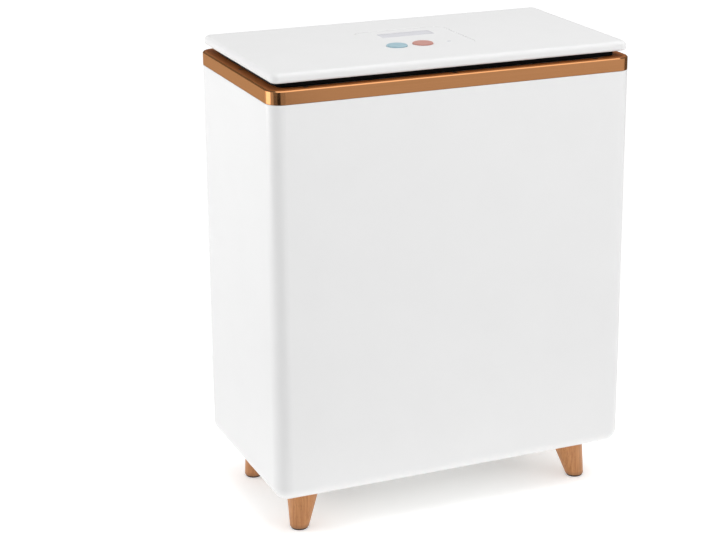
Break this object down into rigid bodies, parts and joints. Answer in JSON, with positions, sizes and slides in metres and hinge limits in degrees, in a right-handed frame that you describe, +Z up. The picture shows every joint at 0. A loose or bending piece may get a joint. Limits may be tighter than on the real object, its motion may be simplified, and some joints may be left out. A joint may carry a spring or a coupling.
{
  "type": "towel warmer",
  "caption": "Free-standing electric towel warmer: rounded white bin with a copper-coloured band, hinged lid with push buttons and display, heated aluminium liner and splayed wooden feet.",
  "frame": {"origin": "on the floor under the middle of the bin, level with the undersides of the foot pads", "axes": "+X to the right seen from the front, +Y to the back where the hinges are, +Z up"},
  "size_m": [0.4, 0.22, 0.4976],
  "materials": {
    "white_abs": "satin moulded",
    "white_polypropylene": "matt moulded",
    "copper_anodised": "satin anodised",
    "black_nylon": "matt moulded",
    "brown_nylon": "matt moulded",
    "liner_aluminium": "drawn, satin",
    "black_silicone": "matt",
    "beech": "turned and lacquered",
    "felt_rubber": "matt",
    "zinc_steel": "zinc plated",
    "black_steel": "black oxide",
    "heater_silicone": "matt",
    "glass_fibre": "needled felt",
    "phenolic": "matt moulded",
    "fuse_case": "drawn",
    "board_laminate": "solder mask",
    "component_black": "matt moulded",
    "component_blue": "glossy",
    "transformer_tape": "taped",
    "terminal_green": "matt moulded",
    "lead_red": "silicone sleeve",
    "cable_black": "matt sleeve",
    "lens_acrylic": "polished",
    "button_blue": "satin moulded",
    "button_red": "satin moulded"
  },
  "bodies": {
    "body": {"outer_shell": "white_abs", "base_plate": "white_polypropylene", "base_screws": "zinc_steel", "foot_front_left": "beech", "foot_front_right": "beech", "foot_rear_left": "beech", "foot_rear_right": "beech", "foot_pads": "felt_rubber", "foot_bolts": "zinc_steel", "foot_nuts": "zinc_steel", "cord_gland": "black_nylon", "gland_nut": "black_nylon", "trim_band": "copper_anodised", "rim_frame": "brown_nylon", "rim_screws": "black_steel", "inner_liner": "liner_aluminium", "heater_wrap": "heater_silicone", "heater_base": "heater_silicone", "insulation_wrap": "glass_fibre", "insulation_base": "glass_fibre", "thermostat": "phenolic", "thermal_fuse": "fuse_case", "fuse_clip": "zinc_steel", "temperature_sensor": "fuse_case", "power_board": "board_laminate", "board_pillars": "white_polypropylene", "board_screws": "zinc_steel", "relay": "component_blue", "transformer": "transformer_tape", "filter_capacitor": "component_black", "terminal_block": "terminal_green", "heater_leads": "lead_red", "sensor_lead": "cable_black", "lid_cable_body": "cable_black", "hinge_leaf_body_left": "zinc_steel", "hinge_leaf_body_right": "zinc_steel", "hinge_pin_left": "zinc_steel", "hinge_pin_right": "zinc_steel", "hinge_screws_body": "black_steel"},
    "lid": {"lid_cover": "white_abs", "lid_liner": "white_polypropylene", "lid_seal": "black_silicone", "lid_insulation": "glass_fibre", "lid_screws": "zinc_steel", "lid_cable_lid": "cable_black", "hinge_leaf_lid_left": "zinc_steel", "hinge_leaf_lid_right": "zinc_steel", "hinge_screws_lid": "black_steel", "control_fascia": "white_abs", "display_lens": "lens_acrylic", "led_display": "component_black", "indicator_lens": "lens_acrylic", "display_board": "board_laminate", "display_screws": "zinc_steel", "tact_switches": "component_black"},
    "blue_button": {"blue_button": "button_blue", "blue_plunger": "component_black"},
    "red_button": {"red_button": "button_red", "red_plunger": "component_black"}
  },
  "joints": [
    {"name": "lid_hinge", "type": "hinge", "parent": "body", "child": "lid", "pos_m": [0, 0.1065, 0.48325], "axis": [-1, 0, 0], "range_deg": [0, 100]},
    {"name": "blue_button_press", "type": "slide", "parent": "lid", "child": "blue_button", "axis": [0, 0, -1], "range_m": [0, 0.0008], "stiffness_N_per_m": 800, "springref_m": -0.0006},
    {"name": "red_button_press", "type": "slide", "parent": "lid", "child": "red_button", "axis": [0, 0, -1], "range_m": [0, 0.0008], "stiffness_N_per_m": 800, "springref_m": -0.0006}
  ]
}
